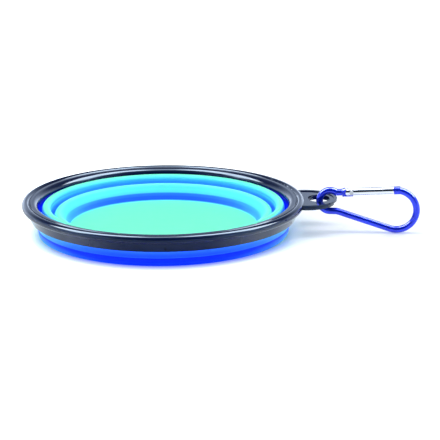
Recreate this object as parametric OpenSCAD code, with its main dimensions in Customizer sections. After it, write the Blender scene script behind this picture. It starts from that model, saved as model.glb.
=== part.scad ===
// Collapsible travel bowl, folded flat: a stiff rim ring with a hanging tab,
// a silicone wall that folds in two ridges round a flat base, and a snap link
// through the slot of the tab.
// Millimetres. The origin lies on the bowl's axis, on the underside of the base.
// +Z is up, and +X runs out through the middle of the tab.

/* [Rim] */
// Outside diameter of the rim
rim_d = 130; // [122:1:140]
// Height of the rim's top above the table when the bowl is folded flat
rim_h = 15.7; // [15.4:0.1:18]
// Width of the rim from its outside to its inside edge
rim_w = 7.7; // [7.4:0.1:8.4]
// Thickness of the round bead at the rim's outside
bead_d = 3.7; // [3.5:0.1:3.7]
// Height of the rim from its top to the edge of the skirt
rim_depth = 7.9; // [7.6:0.1:8.4]
// Distance that the skirt's edge lies inside the bead
skirt_in = 3.9; // [3.5:0.1:4.1]
// Distance from the outside to the seam between the two rim rings
seam_in = 3.75; // [3.75:0.05:3.9]
// Depth of the inner ring's top below the rim's top
ring_drop = 0.4; // [0.3:0.05:0.5]
// Radius of the inner ring's round inside edge
ring_round = 2.7; // [2.4:0.1:2.75]
// Diameter of the moulding pips on the skirt
pip_d = 1; // [0.6:0.1:1.2]
// Turn from the tab to the nearest pips
pip_turn = 22; // [18:1:40]

/* [Silicone] */
// Thickness of the folding wall
wall_t = 0.9; // [0.8:0.05:1]
// Clear width inside a valley
fold_gap = 0.6; // [0.5:0.05:0.7]
// Width of each round ridge
ridge_w = 4.1; // [3.8:0.1:4.4]
// Clear width of the gap between a ridge and the wall round it
ridge_gap = 1.5; // [1.4:0.05:1.6]
// Depth of the outer ridge's top below the rim's top
ridge_1_drop = 2.1; // [1.6:0.1:3]
// Depth of the inner ridge's top below the rim's top
ridge_2_drop = 5.2; // [4.6:0.1:5.6]
// Height of the folds' undersides above the table
fold_clear = 0.5; // [0.3:0.1:1]
// Height of the edge below the plain band that shows under the rim
band_z = 4.1; // [3.8:0.1:4.6]
// Thickness of the flat base
base_t = 3.2; // [2.6:0.1:3.6]
// Width of the cone between the inner ridge and the flat floor
cone_w = 2.7; // [2.3:0.1:3.5]

/* [Tab] */
// Reach of the tab past the rim
tab_reach = 15.1; // [14.9:0.1:15.4]
// Radius of the tab's round end
tab_r = 14.4; // [13.6:0.1:15]
// Thickness of the tab with its raised border
tab_t = 2.6; // [2.4:0.1:2.7]
// Depth of the tab's top below the rim's top
tab_drop = 0.6; // [0.5:0.1:0.8]
// Width of the raised border
border_w = 1.5; // [1:0.1:2]
// Height of the raised border
border_h = 0.4; // [0.3:0.1:0.8]
// Width of the bar beyond the slot
bar_w = 3.5; // [3.3:0.1:3.6]
// Width of the slot, outward from the rim
slot_w = 9.8; // [9.6:0.1:10]
// Length of the slot along the rim
slot_l = 12.4; // [12.2:0.1:13]

/* [Snap link] */
// Diameter of the link's rod
rod_d = 3.2; // [3:0.05:3.3]
// Radius of the small eye, to the middle of the rod
eye_r = 4.85; // [4.8:0.05:5]
// Radius of the wide bow, to the middle of the rod
bow_r = 9.25; // [8.6:0.05:9.8]
// Distance between the centres of the eye and the bow
link_span = 30.6; // [29:0.1:34]
// Length of the neck between the eye and the straight back
neck_l = 2.7; // [2:0.1:3.2]
// Turn by which the eye closes in at the neck
neck_turn = 6.5; // [4:0.5:8]
// Distance of the gate's middle line from the eye's centre
gate_off = 3.85; // [3.7:0.05:4]
// Distance of the link from the middle of the slot
link_side = 4.2; // [4:0.1:4.3]
// Turn of the link towards the front
link_yaw = 7; // [3:1:9]
// Diameter of the gate
gate_d = 3.5; // [3.3:0.05:3.8]
// Diameter of the gate's hinge rivet
rivet_d = 1.3; // [1:0.05:1.4]
// Distance of the rivet from the eye's centre, along the gate
rivet_at = 10; // [9.8:0.1:10.5]
// Thickness of the hinge tongue
tongue_t = 1.1; // [0.9:0.05:1.2]
// Number of turns in the gate's spring
spring_turns = 7; // [5:1:7]

/* [Hidden] */
$fn = 96;

rim_colour = [0.19, 0.21, 0.25];
ring_colour = [0.23, 0.25, 0.29];
silicone_colour = [0.36, 0.76, 0.96];
floor_colour = [0.52, 0.95, 0.87];
link_colour = [0.06, 0.16, 0.86];
steel_colour = [0.84, 0.86, 0.89];

// Clearances: between moving pieces, between fitted pieces, and for a sliding fit
move_gap = 0.2;
fit_gap = 0.05;
slide_gap = 0.08;

// Rim: places of its section, as radius and height
rim_r = rim_d / 2;
bead_r = bead_d / 2;
bead_mid = [rim_r - bead_r, rim_h - bead_r];
seam_r = rim_r - seam_in;
inside_r = rim_r - rim_w;
skirt_z = rim_h - rim_depth;
skirt_r = rim_r - skirt_in;
skirt_flare = 2.1;
skirt_top_share = 0.75;
skirt_t = 1.3;
skirt_lip = 0.9;
ring_h = 3.3;
ring_z = rim_h - ring_drop - ring_h;
ring_edge = 0.5;
pip_z_share = 0.2;
pip_z = skirt_z + pip_z_share * rim_depth;

// Silicone: fold radii from the rim inward, heights of the fold centres, the angle over
// the inner ridge where its slope begins, and each ring's travel when the bowl is open
valley_r = wall_t + fold_gap / 2;
valley_limb = valley_r - wall_t / 2;
crest_r = ridge_w / 2;
crest_limb = crest_r - wall_t / 2;
pass_gap = 0.3;
valley_z = fold_clear + valley_r;
crest_1 = [inside_r - ridge_gap - crest_r, rim_h - ridge_1_drop - crest_r];
valley_1 = [crest_1[0] + crest_r + pass_gap + valley_r, valley_z];
crest_2 = [crest_1[0] - crest_r - ridge_gap - crest_r, rim_h - ridge_2_drop - crest_r];
valley_2 = [crest_2[0] + crest_r + pass_gap + valley_r, valley_z];
arc_steps = 12;
slope_from = 140;
shoulder_shares = [0.5, 0.6];
shoulder_t = 1.3;
band_step = 0.3;
heel_t = 1.9;
floor_r = crest_2[0] - crest_r - cone_w;
lip_r = seam_r - skirt_t + wall_t / 2;
outer_drop = 2 * (crest_1[1] - valley_z);
inner_drop = 2 * (crest_2[1] - valley_z);
echo(outer_drop = outer_drop, inner_drop = inner_drop);

// Tab: heights and the centre of its round end
tab_top = rim_h - tab_drop;
tab_mid_x = rim_r + tab_reach - tab_r;
slot_x = rim_r + tab_reach - bar_w - slot_w / 2;
groove_z_shares = [0.45, 0.65];
groove_in = 1.6;
foot_in = 1.2;

// Link: its own flat frame has the eye's centre at the origin and the bow's on +X.
// Straight runs are a hair thinner than the bends and seat inside their ends.
rod_r = rod_d / 2;
seat = 0.01;
seat_l = 0.25;
straight_d = rod_d - 2 * seat;
eye_drop = 0.35;
eye_z = tab_top - eye_drop;
eye_mid = [slot_x + eye_r * cos(link_yaw), -link_side - eye_r * sin(link_yaw), eye_z];
rest_pitch = asin((eye_z - bow_r - rod_r) / link_span);
taper = asin((bow_r - gate_off) / link_span);
side_l = link_span * cos(taper);
knee_at = asin(gate_off / eye_r);
knee_x = eye_r * cos(knee_at);
neck_from = 270 + neck_turn;
bend_share = 1.3;
bend_r = bend_share * rod_d;
neck_a = eye_r * [cos(neck_from), sin(neck_from)];
neck_b = neck_a + neck_l * [-sin(neck_from), cos(neck_from)];
bend_mid = neck_b + bend_r * [cos(neck_from), sin(neck_from)];
to_bow = [link_span, 0] - bend_mid;
back_l = sqrt(to_bow * to_bow - pow(bow_r + bend_r, 2));
back_turn = atan2(to_bow[1], to_bow[0]) - asin((bow_r + bend_r) / norm(to_bow));
back_at = bend_mid + bend_r * [-sin(back_turn), cos(back_turn)];

// Gate: its own frame has the rivet at the origin and the gate along +X
heel_r = 2.7;
nose_back = 1;
gate_l = side_l - rivet_at - nose_back;
collar_d = 4.2;
collar_l = 1.6;
nose_d = 3.8;
nose_l = 3;
tongue_l = 2.4;
tongue_h = 2.4;
tongue_lip = 0.85;
fork_clear = 0.4;
fork_l = tongue_l + fork_clear;
bore_d = 2;
bore_share = 0.55;
bore_l = bore_share * gate_l;
plunger_l = 3;
head_d = 1.9;
head_h = 0.45;
head_z = gate_d / 2 - head_h + fit_gap;
latch_l = 2;
latch_h = 1.2;
wire_d = 0.25;
spring_r = bore_d / 2 - slide_gap - wire_d / 2;
spring_from = tongue_l + fit_gap + plunger_l + fit_gap + wire_d / 2;
spring_l = bore_l - fit_gap - wire_d / 2 - spring_from;

// Points of an arc of the section about mid, from one angle to another
function arc(mid, r, from, to) =
    [for (i = [0 : arc_steps])
        let (turn = from + (to - from) * i / arc_steps)
        mid + r * [cos(turn), sin(turn)]];

// Outside and inside of a fold of the given outside radius, from one limb over to the other
function fold_out(mid, r, from, to) = arc(mid, r, from, to);
function fold_in(mid, r, from, to) = arc(mid, r - wall_t, from, to);

// Level-ended strip of the folding wall from a valley up to a crest
module web_section(low, high) {
    half = [wall_t / 2, 0];
    polygon([low - half, low + half, high + half, high - half]);
}

// Section of the outer rim ring: a round bead on a skirt with a lip turned in
module rim_section() {
    translate(bead_mid) circle(r = bead_r);
    polygon([
        [skirt_r - skirt_t, skirt_z],
        [skirt_r, skirt_z],
        [skirt_r + skirt_flare, bead_mid[1] - skirt_top_share * bead_r],
        [bead_mid[0], bead_mid[1] - bead_r / 2],
        [bead_mid[0], bead_mid[1] + bead_r / 2],
        [seam_r, bead_mid[1] + bead_r / 2],
        [seam_r, ring_z],
        [lip_r, ring_z],
        [lip_r, skirt_z + skirt_lip],
        [skirt_r - skirt_t, skirt_z + skirt_lip],
    ]);
}

// Round end of the tab as a disc that stops inside the bead
module tab_disc(r, from, to) {
    difference() {
        translate([tab_mid_x, 0, from]) cylinder(r = r, h = to - from);
        translate([0, 0, from - tab_t]) cylinder(r = bead_mid[0], h = 3 * tab_t);
    }
}

// Long hole with round ends that lies along the rim
module slot_hole() {
    straight = slot_l - slot_w;
    for (side = [-1, 1])
        translate([slot_x, side * straight / 2, tab_top - 2 * tab_t]) cylinder(d = slot_w, h = 3 * tab_t);
    translate([slot_x - slot_w / 2, -straight / 2, tab_top - 2 * tab_t]) cube([slot_w, straight, 3 * tab_t]);
}

// Hard outer ring with its tab: the tab has a raised border and a groove round its side
module rim_frame() {
    tab_low = tab_top - tab_t;
    groove_z = [for (share = groove_z_shares) tab_low + tab_t * share];
    color(rim_colour) difference() {
        union() {
            rotate_extrude() rim_section();
            tab_disc(tab_r - foot_in, tab_low, groove_z[0]);
            tab_disc(tab_r - groove_in, groove_z[0], groove_z[1]);
            difference() {
                tab_disc(tab_r, groove_z[1], tab_top);
                difference() {
                    translate([0, 0, tab_top - border_h]) tab_disc(tab_r - border_w, 0, tab_t);
                    cylinder(r = rim_r, h = rim_h);
                }
            }
        }
        slot_hole();
        for (turn = [-90, -pip_turn, pip_turn, 90])
            rotate(turn) translate([skirt_r, 0, pip_z]) rotate([0, 90, 0]) cylinder(d = pip_d, h = skirt_t);
    }
}

// Inner ring that is pressed into the frame and holds the silicone's lip down
module rim_ring() {
    top = ring_z + ring_h;
    color(ring_colour) rotate_extrude() polygon([
        [inside_r + ring_edge, ring_z],
        [seam_r - fit_gap, ring_z],
        [seam_r - fit_gap, top - ring_edge / 2],
        [seam_r - ring_edge / 2, top],
        each arc([inside_r + ring_round, top - ring_round], ring_round, 90, 180),
        [inside_r, ring_z + ring_edge],
    ]);
}

// Outer wall: lip in the rim, plain band below it, and the first valley
module outer_wall() {
    limb_out = valley_1[0] + valley_r;
    band_r = skirt_r - skirt_t - fit_gap;
    lip_z = skirt_z + skirt_lip + fit_gap;
    color(silicone_colour) rotate_extrude() polygon(concat(
        fold_in(valley_1, valley_r, -180, 0),
        [
            [limb_out - wall_t, ring_z - fit_gap],
            [lip_r - fit_gap, ring_z - fit_gap],
            [lip_r - fit_gap, lip_z],
            [band_r, lip_z],
            [band_r, skirt_z],
            [limb_out + band_step, band_z],
            [limb_out, band_z - band_step],
        ],
        fold_out(valley_1, valley_r, 0, -180)
    ));
}

// Outer web: turns inside out between the outer wall and the middle wall
module outer_web() {
    color(silicone_colour) rotate_extrude()
        web_section(valley_1 - [valley_limb, 0], crest_1 + [crest_limb, -fit_gap]);
}

// Middle wall: the outer ridge's crest, a stiff limb and the second valley
module middle_wall() {
    color(silicone_colour) rotate_extrude() polygon(concat(
        fold_out(crest_1, crest_r, 0, 180),
        fold_in(valley_2, valley_r, 0, -180),
        fold_out(valley_2, valley_r, -180, 0),
        fold_in(crest_1, crest_r, 180, 0)
    ));
}

// Inner web: turns inside out between the middle wall and the inner wall
module inner_web() {
    color(silicone_colour) rotate_extrude()
        web_section(valley_2 - [valley_limb, 0], crest_2 + [crest_limb, -fit_gap]);
}

// Inner wall: the inner ridge's crest, its slope, and the cone down to the floor
module inner_wall() {
    rise = crest_2 - [crest_r, 0] - [floor_r, base_t];
    shoulder = [floor_r + shoulder_shares[0] * rise[0], base_t + shoulder_shares[1] * rise[1]];
    color(silicone_colour) rotate_extrude() polygon(concat(
        fold_out(crest_2, crest_r, 0, slope_from),
        [
            shoulder,
            [floor_r, base_t],
            [floor_r, 0],
            [floor_r + wall_t, 0],
            [floor_r + heel_t, wall_t],
            shoulder + [shoulder_t, -wall_t / 2],
        ],
        fold_in(crest_2, crest_r, 180, 0)
    ));
}

// Flat floor of the bowl, which also stands on the table
module base_floor() {
    color(floor_colour) cylinder(r = floor_r, h = base_t);
}

// Places the link's flat frame in the slot, pitched so that the bow lies on the table
module link_frame() {
    translate(eye_mid) rotate([0, 0, -link_yaw]) rotate([90, 0, 0]) rotate([0, 0, -rest_pitch]) children();
}

// Places the gate's frame on the rivet
module gate_frame() {
    link_frame() rotate([0, 0, taper]) translate([rivet_at, gate_off, 0]) children();
}

// A bar of the given diameter along +X of the current frame
module bar_x(d, from, to) {
    translate([from, 0, 0]) rotate([0, 90, 0]) cylinder(d = d, h = to - from);
}

// A bend of the rod about the origin, from one angle over a sweep
module rod_bend(r, from, sweep) {
    rotate(from) rotate_extrude(angle = sweep) translate([r, 0]) circle(d = rod_d);
}

// Bent rod: eye, neck, straight back and bow, with a flared collar at the hinge and a nose at the latch
module link_hook() {
    nose_x = gate_l + move_gap;
    color(link_colour) union() {
        link_frame() {
            rod_bend(eye_r, taper + knee_at, neck_from - taper - knee_at);
            rotate(taper) translate([knee_x, gate_off]) sphere(r = rod_r + seat);
            translate(neck_a) rotate(neck_from - 270) bar_x(straight_d, -seat_l, neck_l + seat_l);
            translate(bend_mid) rod_bend(bend_r, 90 + back_turn, neck_from - 270 - back_turn);
            translate(back_at) rotate(back_turn) bar_x(straight_d, -seat_l, back_l + seat_l);
            translate([link_span, 0]) rod_bend(bow_r, back_turn - 90, 180 + taper - back_turn);
        }
        gate_frame() difference() {
            union() {
                bar_x(straight_d, knee_x - rivet_at, -heel_r - move_gap - collar_l / 2);
                translate([-heel_r - move_gap - collar_l, 0, 0]) rotate([0, 90, 0])
                    cylinder(d1 = rod_d, d2 = collar_d, h = collar_l);
                translate([-heel_r - collar_l, -tongue_h / 2, -tongue_t / 2])
                    cube([heel_r + collar_l + tongue_l, tongue_h, tongue_t]);
                translate([-heel_r - collar_l, -tongue_h / 2 - tongue_lip, -tongue_t / 2])
                    cube([heel_r + collar_l + rivet_d / 2, tongue_h / 2, tongue_t]);
                bar_x(nose_d, nose_x, nose_x + nose_l);
                translate([nose_x - latch_l, -move_gap, -tongue_t / 2])
                    cube([latch_l + collar_l, latch_h, tongue_t]);
            }
            cylinder(d = rivet_d + 2 * fit_gap, h = 2 * gate_d, center = true);
        }
    }
}

// Round gate: forked round the tongue, bored for its spring, slotted for the latch
module link_gate() {
    fork_w = tongue_t + 2 * fit_gap + 2 * slide_gap;
    color(steel_colour) gate_frame() difference() {
        union() {
            bar_x(gate_d, 0, gate_l);
            intersection() {
                bar_x(gate_d, -gate_d, gate_d);
                cylinder(r = heel_r, h = 2 * gate_d, center = true);
            }
        }
        translate([-gate_d, -gate_d, -fork_w / 2]) cube([gate_d + fork_l, 2 * gate_d, fork_w]);
        bar_x(bore_d, rivet_d, bore_l);
        translate([gate_l - latch_l - move_gap, -2 * move_gap, -fork_w / 2])
            cube([2 * latch_l, gate_d, fork_w]);
        cylinder(d = rivet_d, h = 2 * gate_d, center = true);
        for (side = [0, 1])
            mirror([0, 0, side]) translate([0, 0, head_z]) cylinder(d = head_d, h = gate_d);
    }
}

// Hinge rivet with a flat head on each side
module gate_rivet() {
    color(steel_colour) gate_frame() {
        cylinder(d = rivet_d, h = gate_d, center = true);
        for (side = [0, 1])
            mirror([0, 0, side]) translate([0, 0, head_z]) cylinder(d = head_d, h = head_h);
    }
}

// Plunger in the gate's bore that presses on the end of the tongue
module gate_plunger() {
    color(steel_colour) gate_frame()
        bar_x(bore_d - 2 * slide_gap, tongue_l + fit_gap, tongue_l + fit_gap + plunger_l);
}

// Point of the spring's middle line at a share of its length
function coil(share) = [
    spring_from + share * spring_l,
    spring_r * cos(360 * spring_turns * share),
    spring_r * sin(360 * spring_turns * share),
];

// Ring of the spring's wire at a share: radial and crosswise directions of the coil
function wire_ring(share, sides) =
    let (turn = 360 * spring_turns * share, out = [0, cos(turn), sin(turn)])
    [for (i = [0 : sides - 1])
        let (around = 360 * i / sides)
        coil(share) + wire_d / 2 * (cos(around) * out + sin(around) * [1, 0, 0])];

// Coil spring between the plunger and the end of the bore, as one unbroken tube
module gate_spring() {
    sides = 6;
    rings = 8 * spring_turns;
    points = [for (k = [0 : rings]) each wire_ring(k / rings, sides)];
    walls = [for (k = [0 : rings - 1], i = [0 : sides - 1])
        let (a = k * sides + i, b = k * sides + (i + 1) % sides)
        each [[a, b, b + sides], [a, b + sides, a + sides]]];
    start = [for (i = [1 : sides - 2]) [0, i + 1, i]];
    last = rings * sides;
    end = [for (i = [1 : sides - 2]) [last, last + i, last + i + 1]];
    color(steel_colour) gate_frame() polyhedron(points, concat(walls, start, end));
}

rim_frame();
rim_ring();
outer_wall();
outer_web();
middle_wall();
inner_web();
inner_wall();
base_floor();
link_hook();
link_gate();
gate_rivet();
gate_plunger();
gate_spring();
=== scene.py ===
"""Dresses the folded travel bowl: silicone cup, hard rim with its tab, snap link, and a plain studio."""
import math
import bmesh
import bpy
import numpy as np
from mathutils import Matrix, Vector


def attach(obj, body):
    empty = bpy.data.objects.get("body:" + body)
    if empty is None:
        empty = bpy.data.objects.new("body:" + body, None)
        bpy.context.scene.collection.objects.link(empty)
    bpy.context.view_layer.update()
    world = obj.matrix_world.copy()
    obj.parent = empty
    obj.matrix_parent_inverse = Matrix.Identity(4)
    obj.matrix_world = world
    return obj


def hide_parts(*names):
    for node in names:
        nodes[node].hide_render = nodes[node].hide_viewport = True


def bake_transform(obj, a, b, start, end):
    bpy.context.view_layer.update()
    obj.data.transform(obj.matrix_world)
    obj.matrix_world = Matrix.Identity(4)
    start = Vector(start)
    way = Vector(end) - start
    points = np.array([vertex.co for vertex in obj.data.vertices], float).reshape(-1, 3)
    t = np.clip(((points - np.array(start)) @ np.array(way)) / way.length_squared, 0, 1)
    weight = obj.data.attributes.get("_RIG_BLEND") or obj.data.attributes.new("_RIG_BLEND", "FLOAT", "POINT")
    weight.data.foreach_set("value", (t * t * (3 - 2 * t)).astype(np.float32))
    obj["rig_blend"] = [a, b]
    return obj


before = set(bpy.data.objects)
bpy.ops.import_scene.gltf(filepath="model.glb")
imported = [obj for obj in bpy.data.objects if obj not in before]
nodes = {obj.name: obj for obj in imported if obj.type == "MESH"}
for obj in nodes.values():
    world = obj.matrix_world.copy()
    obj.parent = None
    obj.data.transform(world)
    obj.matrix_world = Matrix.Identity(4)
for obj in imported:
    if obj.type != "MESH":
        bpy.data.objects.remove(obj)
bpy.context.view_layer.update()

# Metres in a millimetre, and points round each ring of the cup
MM = 0.001
TURNS = 256

# Folds of the silicone in millimetres: the wall, the bends' radii at its middle, the degrees that the last
# bend turns, and the radius and height of each bend's centre
WALL = 0.9
VALLEY_R = 0.75
CREST_R = 1.6
CREST_2_TURN = 140
VALLEY_1 = (56.5, 1.25)
CREST_1 = (53.75, 11.55)
VALLEY_2 = (51.7, 1.7)
CREST_2 = (48.15, 8.45)

# How far the middle ring goes down from the rim, and the base from the middle ring
OUTER_TRAVEL = 19.7
INNER_TRAVEL = 13.5

# Outside of the cup, as radius and height: lip in the rim, neck below it, plain band and foot
LIMB_TOP = (58.05, 11.9)
LIP_R = 60.2
LIP_LOW = 8.9
NECK = ((59.8, 8.7), (59.75, 7.8))
BAND = ((59.75, 7.7), (58.0, 4.2))
BAND_EDGE_R = 0.3
FOOT_TOP = 3.8

# Inside of the cup and its base, as radius and height: slope of the inner ridge, cone, floor and underside
RIDGE_SLOPE = ((46.5, 9.65), (45.0, 6.85))
CONE = ((44.85, 6.5), (43.6, 3.6))
FILLET = (43.0, 3.7)
FILLET_R = 0.5
FLOOR_EDGE = (42.7, 3.2)
BASE_R = 44.0
BASE_EDGE_R = 0.4
BASE_SIDE = ((45.3, 0.95), (46.0, 5.9))

# Plain shade value of the faces that only the open bowl shows, with no painted side light, and the painted
# light that the foot gains at the left and right, at its top and at its bottom
PLAIN_TONE = (0.36, 0.0)
FOOT_PAINTED_SIDE_LIGHT = (0.15, 0.7)


def arc(mid, radius, start, stop, count):
    """Points of a circle: mid plus radius times (cos, sin), evenly from start to stop degrees."""
    turn = np.radians(np.linspace(start, stop, count))
    return np.stack([mid[0] + radius * np.cos(turn), mid[1] + radius * np.sin(turn)], axis=1)


def straight(a, b, count):
    """Points that share the way from a to b evenly."""
    share = np.linspace(0, 1, count)[:, None]
    return np.array(a) * (1 - share) + np.array(b) * share


def beside(point, distance):
    """The point that lies a distance further from the axis, at the same height."""
    return point[0] + distance, point[1]


def side_of(path, offset):
    """The path moved sideways: each point goes offset times the unit normal on the left of its way."""
    along = np.gradient(path, axis=0)
    along /= np.linalg.norm(along, axis=1)[:, None]
    return path + np.stack([-along[:, 1], along[:, 0]], axis=1) * offset


def mesh_from_grid(name, points, close_rows):
    """Joins a grid of points, rows by columns, into quads. Each row joins its last point to its first, and
    closed rows join the last row to the first."""
    rows, columns = points.shape[:2]
    i, j = np.meshgrid(np.arange(rows - (not close_rows)), np.arange(columns), indexing="ij")
    here, below = i * columns, (i + 1) % rows * columns
    right = (j + 1) % columns
    quads = np.stack([here + j, here + right, below + right, below + j], axis=-1)
    mesh = bpy.data.meshes.new(name)
    mesh.from_pydata(points.reshape(-1, 3) * MM, [], quads.reshape(-1, 4))
    mesh.polygons.foreach_set("use_smooth", np.ones(len(mesh.polygons), bool))
    mesh.update()
    piece = bpy.data.objects.new(name, mesh)
    bpy.context.scene.collection.objects.link(piece)
    return piece


def anticlockwise(loop):
    """Whether a closed section runs anticlockwise, by the sign of its area."""
    x, y = loop[:, 0], loop[:, 1]
    return np.sum(x * np.roll(y, -1) - np.roll(x, -1) * y) > 0


def revolve(name, loop):
    """Carries a section round Z: (radius, height) becomes (radius cos, radius sin, height). The section
    closes on itself, or starts and ends on the axis."""
    turn = np.linspace(0, 2 * np.pi, TURNS, endpoint=False)[None, :]
    r, z = loop[:, :1], loop[:, 1:]
    points = np.stack([r * np.cos(turn), r * np.sin(turn), z + 0 * turn], axis=-1)
    return mesh_from_grid(name, points, close_rows=loop[0, 0] > 0)


def merge(mesh):
    """Joins the points of a mesh that share one place, such as the many points of a pole."""
    merged = bmesh.new()
    merged.from_mesh(mesh)
    bmesh.ops.remove_doubles(merged, verts=merged.verts, dist=1e-7)
    merged.to_mesh(mesh)
    merged.free()


def points_of(mesh):
    """All vertices of a mesh as rows of x, y and z."""
    flat = np.empty(3 * len(mesh.vertices), np.float32)
    mesh.vertices.foreach_get("co", flat)
    return flat.reshape(-1, 3)


def point_values(piece, name, values):
    """Writes one number for each vertex of the piece."""
    layer = piece.data.attributes.get(name) or piece.data.attributes.new(name, "FLOAT", "POINT")
    layer.data.foreach_set("value", np.asarray(values, np.float32))


class Nodes:
    """The node tree of a material or a world, with short calls that add nodes and join their sockets."""

    def __init__(self, holder):
        holder.use_nodes = True
        self.holder = holder
        self.tree = holder.node_tree
        self.shader = self.tree.nodes.get("Principled BSDF") or self.tree.nodes["Background"]

    def add(self, kind, **values):
        """A new node with these values."""
        node = self.tree.nodes.new(kind)
        for key, value in values.items():
            setattr(node, key, value)
        return node

    def link(self, out, into):
        """Joins an output to an input."""
        self.tree.links.new(out, into)

    def place(self):
        """The point on the piece, in metres."""
        return self.add("ShaderNodeTexCoord").outputs["Object"]

    def noise(self, scale, detail):
        """Cloudy noise from 0 to 1, with about scale lumps in a metre."""
        node = self.add("ShaderNodeTexNoise")
        node.inputs["Scale"].default_value = scale
        node.inputs["Detail"].default_value = detail
        self.link(self.place(), node.inputs["Vector"])
        return node.outputs["Fac"]

    def ramp(self, value, stops):
        """The colour that a value has between stops of (value, colour)."""
        node = self.add("ShaderNodeValToRGB")
        bands = node.color_ramp.elements
        while len(bands) < len(stops):
            bands.new(0.5)
        for band, (at, colour) in zip(bands, stops):
            band.position = at
            band.color = (*colour, 1)
        self.link(value, node.inputs["Fac"])
        return node.outputs["Color"]

    def spread(self, value, onto, between=(0.0, 1.0)):
        """Maps a value between two ends evenly onto two others, and holds it outside them."""
        node = self.add("ShaderNodeMapRange")
        node.inputs["From Min"].default_value, node.inputs["From Max"].default_value = between
        node.inputs["To Min"].default_value, node.inputs["To Max"].default_value = onto
        self.link(value, node.inputs["Value"])
        return node.outputs["Result"]

    def mix(self, share, low, high):
        """Mixes two colours, each a socket or a colour of three numbers, by a share."""
        node = self.add("ShaderNodeMix", data_type="RGBA")
        self.link(share, node.inputs["Factor"])
        for name, colour in (("A", low), ("B", high)):
            if isinstance(colour, tuple):
                node.inputs[name].default_value = (*colour, 1)
            else:
                self.link(colour, node.inputs[name])
        return node.outputs["Result"]

    def math(self, kind, first, second=None):
        """One sum, product or the like of one or two sockets."""
        node = self.add("ShaderNodeMath", operation=kind)
        self.link(first, node.inputs[0])
        if second is not None:
            self.link(second, node.inputs[1])
        return node.outputs[0]

    def bump(self, height, strength, distance):
        """Tilts the shader's normal by a height."""
        node = self.add("ShaderNodeBump")
        node.inputs["Strength"].default_value = strength
        node.inputs["Distance"].default_value = distance
        self.link(height, node.inputs["Height"])
        self.link(node.outputs["Normal"], self.shader.inputs["Normal"])


def linear(red, green, blue):
    """An sRGB colour of 0 to 255 as linear light."""
    share = np.array([red, green, blue]) / 255
    light = np.where(share <= 0.04045, share / 12.92, ((share + 0.055) / 1.055) ** 2.4)
    return tuple(float(v) for v in light)


def silicone_finish():
    """Soft satin silicone that lets some light through. Its colour is painted light and shade from a value
    that each point carries: navy where the deep folds lie in shade, by blue and cyan, to mint where light
    falls straight in. Its darker faces have a painted glow, no lamp, that stands for the light that comes
    through the thin wall."""
    n = Nodes(bpy.data.materials.new("silicone"))
    painted_light = n.add("ShaderNodeAttribute", attribute_name="painted_light").outputs["Fac"]
    # Painted light and shade: navy for the shaded folds, mint for faces in full light
    colour = n.ramp(painted_light, [
        (0.0, linear(2, 10, 120)),
        (0.2, linear(8, 48, 250)),
        (0.4, linear(48, 118, 252)),
        (0.6, linear(78, 184, 252)),
        (0.8, linear(104, 248, 250)),
        (1.0, linear(116, 250, 192)),
    ])
    n.link(colour, n.shader.inputs["Base Color"])
    # Painted glow: the more shaded a face is painted, the more it gives off its own colour
    n.link(colour, n.shader.inputs["Emission Color"])
    n.link(n.spread(painted_light, (0.7, 0.0), between=(0.2, 0.6)), n.shader.inputs["Emission Strength"])
    n.link(n.spread(n.noise(scale=420, detail=2), (0.4, 0.5)), n.shader.inputs["Roughness"])
    n.shader.inputs["Specular IOR Level"].default_value = 0.08
    n.shader.inputs["Subsurface Weight"].default_value = 0.2
    n.shader.inputs["Subsurface Radius"].default_value = (0.3, 0.6, 1.0)
    n.shader.inputs["Subsurface Scale"].default_value = 0.003
    n.bump(n.noise(scale=1400, detail=2), strength=0.03, distance=0.00005)
    return n.holder


def rim_finish():
    """Glossy blue-black moulded plastic with a barely seen flow pattern."""
    n = Nodes(bpy.data.materials.new("rim_plastic"))
    flow = n.noise(scale=40, detail=2)
    colour = n.ramp(flow, [(0.3, linear(8, 18, 50)), (0.7, linear(11, 22, 56))])
    n.link(colour, n.shader.inputs["Base Color"])
    n.link(n.spread(n.noise(scale=90, detail=2), (0.06, 0.09)), n.shader.inputs["Roughness"])
    n.shader.inputs["Specular IOR Level"].default_value = 0.36
    n.shader.inputs["Specular Tint"].default_value = (0.57, 0.78, 1.0, 1)
    return n.holder


def anodised_finish():
    """Blue anodised aluminium under a clear bright skin, with faint clouds in its colour and gloss."""
    n = Nodes(bpy.data.materials.new("link_metal"))
    cloud = n.noise(scale=90, detail=3)
    colour = n.ramp(cloud, [(0.3, linear(4, 34, 196)), (0.7, linear(10, 50, 226))])
    n.link(colour, n.shader.inputs["Base Color"])
    n.shader.inputs["Metallic"].default_value = 0.5
    n.shader.inputs["Specular IOR Level"].default_value = 0.05
    n.link(n.spread(n.noise(scale=200, detail=2), (0.08, 0.12)), n.shader.inputs["Roughness"])
    n.shader.inputs["Coat Weight"].default_value = 0.8
    n.shader.inputs["Coat Roughness"].default_value = 0.05
    return n.holder


def bright_finish(name, low, high):
    """Plain bright metal that clouds from a low to a high sRGB colour, with faint wear in its gloss."""
    n = Nodes(bpy.data.materials.new(name))
    cloud = n.noise(scale=140, detail=3)
    colour = n.ramp(cloud, [(0.3, linear(*low)), (0.7, linear(*high))])
    n.link(colour, n.shader.inputs["Base Color"])
    n.shader.inputs["Metallic"].default_value = 1.0
    n.link(n.spread(n.noise(scale=300, detail=2), (0.1, 0.16)), n.shader.inputs["Roughness"])
    return n.holder


def opened(height, travel, first, last):
    """Share of the travel for each point of the path: none before first, all after last, and between them
    the share that lays the open wall on one straight slope."""
    share = np.clip((np.arange(len(height)) - first) / (last - first), 0, 1)
    slope = height[first] + share * (height[last] - travel - height[first])
    return np.where(share <= 0, 0.0, np.where(share >= 1, 1.0, (height - slope) / travel))


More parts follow.
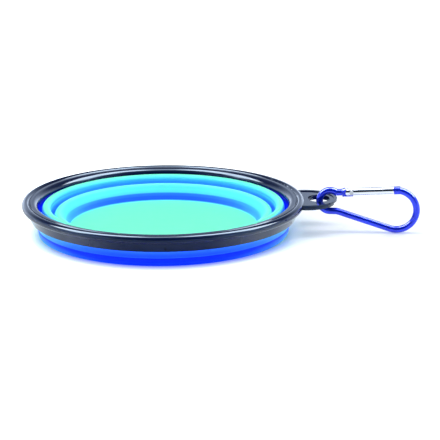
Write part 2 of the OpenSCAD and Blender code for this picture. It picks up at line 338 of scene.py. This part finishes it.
def toned(points, *tones, side_light=0.0):
    """A run of the section with two more columns of painted light and shade: its painted shade value, which
    goes evenly through the tones from the run's start to its end, and the painted light that it gains at the
    left and right, where light falls in along the folds."""
    along = np.linspace(0, 1, len(points))
    tone = np.interp(along, np.linspace(0, 1, len(tones)), tones)
    return np.column_stack([points, tone, np.full(len(points), side_light)])


def outer_cup():
    """Outer half of the cup: limb under the rim, first valley, web, outer ridge, its slope, and the second
    valley to its lowest point. The wall's middle is straight runs and parts of circles, and its faces lie
    half a wall on each side. The lip, the neck and the plain band close the section from the limb's top to
    the foot. The web turns over between the first valley's lowest point and the ridge's highest."""
    # Painted light and shade in each run's tones: dark in the gap under the rim and on the web, light on the
    # ridge's crest, with painted side light on its slope
    limb = toned(straight(LIMB_TOP, beside(VALLEY_1, VALLEY_R), 24), 0.0, 0.1, 0.02, 0.1, 0.2)
    valley = toned(arc(VALLEY_1, VALLEY_R, 0, -180, 17)[1:], 0.2, 0.22, 0.6, 0.6, 0.2)
    web = toned(straight(beside(VALLEY_1, -VALLEY_R), beside(CREST_1, CREST_R), 24)[1:], 0.1, 0.3)
    crest = toned(arc(CREST_1, CREST_R, 0, 180, 31)[1:], 0.2, 0.6, 0.97, 0.97, 0.9, 0.78, 0.67)
    slope = toned(straight(beside(CREST_1, -CREST_R), beside(VALLEY_2, VALLEY_R), 24)[1:],
                  0.66, 0.44, 0.38, 0.3, 0.22, side_light=0.16)
    last_valley = toned(arc(VALLEY_2, VALLEY_R, 0, -90, 9)[1:], 0.28, 0.28)
    path = np.concatenate([limb, valley, web, crest, slope, last_valley])
    inside, outside = side_of(path[:, :2], -WALL / 2), side_of(path[:, :2], WALL / 2)

    web_start = len(limb) + len(valley)
    lowest = len(limb) + len(valley) // 2 - 1
    highest = web_start + len(web) + len(crest) // 2 - 1
    share = opened(path[:, 1], OUTER_TRAVEL, lowest, highest)

    # Painted light on the lip, neck and band below the rim, with more at the left and right
    band = np.concatenate([
        toned(straight((LIP_R, LIMB_TOP[1]), (LIP_R, LIP_LOW), 6), 0.1, 0.1),
        toned(straight(*NECK, 4), 0.2, 0.3),
        toned(straight(*BAND, 14), 0.4, 0.34, 0.29, 0.25, 0.25, side_light=0.52),
        toned(arc(beside(BAND[1], -BAND_EDGE_R), BAND_EDGE_R, -15, -70, 5), 0.36, 0.2),
    ])
    # The foot gains painted light at the left and right, more towards its bottom; faces that only the open
    # bowl shows take the plain shade value and no painted side light
    foot_start = int(np.argmax(outside[:, 1] < FOOT_TOP))
    foot_end = len(limb) + len(valley) // 4
    order = np.arange(len(path))
    foot = np.column_stack([path[:, 2], np.interp(order, [foot_start, foot_end], FOOT_PAINTED_SIDE_LIGHT)])
    behind = np.where(order[:, None] < web_start, foot, PLAIN_TONE)

    loop = np.concatenate([band, np.column_stack([outside, behind])[foot_start:],
                           np.column_stack([inside, path[:, 2:]])[::-1]])
    weights = np.concatenate([np.zeros(len(band)), share[foot_start:], share[::-1]])
    return loop, weights


def inner_cup():
    """Inner half of the cup: second valley from its lowest point, web and inner ridge, as a wall like the
    outer half's, and then the ridge's slope, the cone, the flat floor and the base under them. The web turns
    over between the valley's lowest point and the ridge's highest."""
    # Painted light and shade in each run's tones: darker in the second valley and web, light on the inner
    # ridge's crest
    valley = toned(arc(VALLEY_2, VALLEY_R, -90, -180, 9), 0.28, 0.28)
    web = toned(straight(beside(VALLEY_2, -VALLEY_R), beside(CREST_2, CREST_R), 20)[1:], 0.28, 0.36)
    crest = toned(arc(CREST_2, CREST_R, 0, CREST_2_TURN, 25)[1:], 0.4, 0.65, 0.97, 0.97, 0.89, 0.83)
    path = np.concatenate([valley, web, crest])
    top, under = side_of(path[:, :2], -WALL / 2), side_of(path[:, :2], WALL / 2)
    highest = len(valley) + len(web) + len(crest) * 90 // CREST_2_TURN
    share = opened(path[:, 1], INNER_TRAVEL, 0, highest)

    # Painted light on the bowl: light on the slope and the floor, shade in the cone with painted side light;
    # the base beneath is painted dark
    bowl = np.concatenate([
        toned(straight(*RIDGE_SLOPE, 10), 0.81, 0.8, 0.74),
        toned(straight(*CONE, 12), 0.4, 0.27, 0.27, side_light=0.28),
        toned(arc(FILLET, FILLET_R, -15, -85, 6), 0.5, 0.97),
        toned(straight(FLOOR_EDGE, (0, FLOOR_EDGE[1]), 40), 0.99, 0.99),
    ])
    base = np.concatenate([
        toned(straight((0, 0), (BASE_R, 0), 20), 0.2, 0.2),
        toned(arc((BASE_R, BASE_EDGE_R), BASE_EDGE_R, -85, -10, 5), 0.2, 0.2),
        toned(straight(*BASE_SIDE, 10), 0.2, 0.3),
    ])
    behind = np.column_stack([under, np.tile(PLAIN_TONE, (len(under), 1))])

    loop = np.concatenate([base, behind[::-1], np.column_stack([top, path[:, 2:]]), bowl])
    weights = np.concatenate([np.ones(len(base)), share[::-1], share, np.ones(len(bowl))])
    return loop, weights


def make_cup(name, section, bodies, replaced):
    """One half of the cup, which stretches from the first body to the second. Its painted light and shade is
    the section's tone plus its painted side light times the fourth power of the turn's cosine, so its left
    and right are painted lighter."""
    loop, weights = section
    if not anticlockwise(loop):
        loop, weights = loop[::-1], weights[::-1]
    piece = revolve(name, loop[:, :2])
    turn = np.linspace(0, 2 * np.pi, TURNS, endpoint=False)
    point_values(piece, "painted_light", (loop[:, 2:3] + loop[:, 3:4] * np.cos(turn) ** 4).ravel())
    piece.data.materials.append(silicone)
    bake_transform(piece, *bodies, start=(0, 0, 0), end=(0, 0, 0.01))
    point_values(piece, "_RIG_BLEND", np.repeat(weights, TURNS))
    merge(piece.data)
    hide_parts(*replaced)


def make_spring():
    """The gate's spring: a merged copy of its solid that shortens between the gate and the plunger. What
    each point shares of the plunger's way rises evenly along the coil's axis, the longest direction of its
    points."""
    mesh = nodes["gate_spring"].data.copy()
    merge(mesh)
    mesh.materials.clear()
    mesh.materials.append(steel)
    points = points_of(mesh)
    middle = points.mean(axis=0)
    axis = np.linalg.svd(points - middle, full_matrices=False)[2][0]
    to_plunger = points_of(nodes["gate_plunger"].data).mean(axis=0) - middle
    along = (points - middle) @ axis * np.sign(to_plunger @ axis)
    spring = bpy.data.objects.new("spring", mesh)
    bpy.context.scene.collection.objects.link(spring)
    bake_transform(spring, "gate", "plunger", start=tuple(middle), end=tuple(middle + to_plunger))
    point_values(spring, "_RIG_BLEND", (along - along.min()) / np.ptp(along))
    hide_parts("gate_spring")


def floor():
    """A wide pale table with a soft gloss. To the camera it glows up to white, except where shadows lie:
    less within the foot's edge, and little near the bowl at the right, under the tab and the link. To gloss
    it glows at the left and right, but not behind. It goes with the base that stands on it, so the bowl
    opens above it."""
    half = 4.0
    corners = [(-half, -half, 0), (half, -half, 0), (half, half, 0), (-half, half, 0)]
    mesh = bpy.data.meshes.new("floor")
    mesh.from_pydata(corners, [], [[0, 1, 2, 3]])
    table = bpy.data.objects.new("floor", mesh)
    bpy.context.scene.collection.objects.link(table)

    n = Nodes(bpy.data.materials.new("floor"))
    n.shader.inputs["Base Color"].default_value = (0.93, 0.93, 0.94, 1)
    n.shader.inputs["Roughness"].default_value = 0.2
    n.shader.inputs["Specular IOR Level"].default_value = 0.3

    place = n.place()
    length = n.add("ShaderNodeVectorMath", operation="LENGTH")
    n.link(place, length.inputs[0])
    radius = length.outputs["Value"]
    parts = n.add("ShaderNodeSeparateXYZ")
    n.link(place, parts.inputs[0])
    x, y = parts.outputs["X"], parts.outputs["Y"]

    # Painted light on the table, no lamp: to the camera a glow whitens it outside the bowl's shadows, and to
    # gloss a painted reflection of bright table lies at the left and right
    front = n.spread(y, (0.85, 0.16), between=(-0.05, -0.015))
    left = n.spread(x, (0.9, 0.16), between=(0.03, 0.065))
    far = n.spread(radius, (0.0, 0.9), between=(0.16, 0.3))
    past_foot = n.spread(radius, (0.2, 1.1), between=(0.058, 0.064))
    to_camera = n.math("MULTIPLY", past_foot, n.math("MAXIMUM", n.math("MAXIMUM", front, left), far))
    aside = n.spread(n.math("ABSOLUTE", x), (0.0, 0.7), between=(0.03, 0.06))
    to_gloss = n.math("MULTIPLY", aside, n.spread(y, (1.0, 0.0), between=(0.0, 0.05)))

    ray = n.add("ShaderNodeLightPath").outputs
    level = n.math("ADD", n.math("MULTIPLY", ray["Is Camera Ray"], to_camera),
                   n.math("MULTIPLY", ray["Is Glossy Ray"], to_gloss))
    glow = n.add("ShaderNodeEmission")
    # The glow's faint cyan is painted light, the blue of the silicone thrown onto the table
    glow.inputs["Color"].default_value = (0.9, 1.0, 1.0, 1)
    n.link(level, glow.inputs["Strength"])
    both = n.add("ShaderNodeAddShader")
    n.link(n.shader.outputs[0], both.inputs[0])
    n.link(glow.outputs[0], both.inputs[1])
    n.link(both.outputs[0], n.tree.nodes["Material Output"].inputs["Surface"])
    mesh.materials.append(n.holder)
    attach(table, "base")


def lamp(name, place, size, watts):
    """A soft rectangular lamp at a place, turned to the middle of the bowl's underside."""
    light = bpy.data.lights.new(name, "AREA")
    light.shape = "RECTANGLE"
    light.size, light.size_y = size
    light.energy = watts
    holder = bpy.data.objects.new(name, light)
    bpy.context.scene.collection.objects.link(holder)
    holder.location = place
    holder.rotation_euler = (-holder.location).to_track_quat("-Z", "Y").to_euler()


def studio():
    """Even pale room and a long lamp overhead. Gloss sees another room: dark on the viewer's side, a panel
    overhead that brightens to the left and right, and a wall that is bright low down, most of all to the
    left and right, and dim and bluish above, dimmest at the back."""
    room = (0.62, 0.65, 0.68)
    viewer_side = (0.01, 0.016, 0.03)
    wall_bright = (1.8, 2.1, 2.6)
    wall_dim = (0.35, 0.42, 0.55)
    wall_back = (0.15, 0.2, 0.3)
    panel_levels = (8, 26)

    bpy.context.scene.world = bpy.data.worlds.new("studio")
    n = Nodes(bpy.context.scene.world)
    parts = n.add("ShaderNodeSeparateXYZ")
    n.link(n.add("ShaderNodeTexCoord").outputs["Generated"], parts.inputs[0])
    x, y, z = (parts.outputs[key] for key in "XYZ")
    aside = n.math("ABSOLUTE", x)

    low = n.math("MULTIPLY", n.spread(z, (1, 0), between=(0.12, 0.5)),
                 n.spread(aside, (0.4, 1), between=(0.02, 0.2)))
    high = n.mix(n.spread(y, (0, 1), between=(-0.2, 0.2)), wall_dim, wall_back)
    wall = n.mix(low, high, wall_bright)
    panel = n.spread(aside, panel_levels, between=(0.08, 0.2))
    across = n.math("MULTIPLY", n.spread(y, (1, 0), between=(0.28, 0.4)),
                    n.spread(y, (0, 1), between=(-0.26, -0.14)))
    overhead = n.math("MULTIPLY", across, n.spread(z, (0, 1), between=(0.4, 0.5)))
    ahead = n.spread(y, (0, 1), between=(-0.8, -0.65))
    reflected = n.mix(ahead, viewer_side, n.mix(overhead, wall, panel))
    gloss = n.add("ShaderNodeLightPath").outputs["Is Glossy Ray"]
    n.link(n.mix(gloss, room, reflected), n.shader.inputs["Color"])
    lamp("lamp", Vector((0, 0, 1.0)), (1.4, 0.25), 6)


def camera():
    """Long lens a metre off, fifteen degrees above the table. It aims some pixels of the picture to the
    right of the bowl's middle and below it, so that the bowl sits left of the picture's middle."""
    picture_px, focal_px = 440, 2172.6
    aim_right_px, aim_down_px = 56.45, 18.24
    azimuth, elevation, roll = math.radians(-0.6), math.radians(14.94), math.radians(-0.264)
    middle = Vector((0, 0, 0.01375))
    distance = 1.0

    level = math.cos(elevation)
    away = Vector((math.sin(azimuth) * level, -math.cos(azimuth) * level, math.sin(elevation)))
    right = Vector((math.cos(azimuth), math.sin(azimuth), 0))
    up = away.cross(right)
    aim = middle + (right * aim_right_px - up * aim_down_px) * (distance / focal_px)

    data = bpy.data.cameras.new("camera")
    data.sensor_width = 36
    data.lens = data.sensor_width * focal_px / picture_px
    data.clip_start = 0.05
    holder = bpy.data.objects.new("camera", data)
    bpy.context.scene.collection.objects.link(holder)
    holder.location = middle + away * distance
    facing = (aim - holder.location).to_track_quat("-Z", "Y").to_matrix()
    holder.rotation_euler = (facing @ Matrix.Rotation(roll, 3, "Z")).to_euler()
    bpy.context.scene.camera = holder


silicone = silicone_finish()
rim_plastic = rim_finish()
link_metal = anodised_finish()
gate_metal = bright_finish("gate_metal", (186, 190, 198), (206, 210, 216))
steel = bright_finish("steel", (150, 154, 162), (186, 190, 198))

make_cup("cup_outer", outer_cup(), ("rim", "middle"), ("outer_wall", "outer_web", "middle_wall"))
make_cup("cup_inner", inner_cup(), ("middle", "base"), ("inner_web", "inner_wall", "base_floor"))
make_spring()

FINISHES = {
    "rim_frame": rim_plastic,
    "rim_ring": rim_plastic,
    "link_hook": link_metal,
    "link_gate": gate_metal,
    "gate_rivet": steel,
    "gate_plunger": steel,
}
for node, finish in FINISHES.items():
    nodes[node].data.materials.clear()
    nodes[node].data.materials.append(finish)

floor()
studio()
camera()
bpy.context.scene.view_settings.view_transform = "Standard"
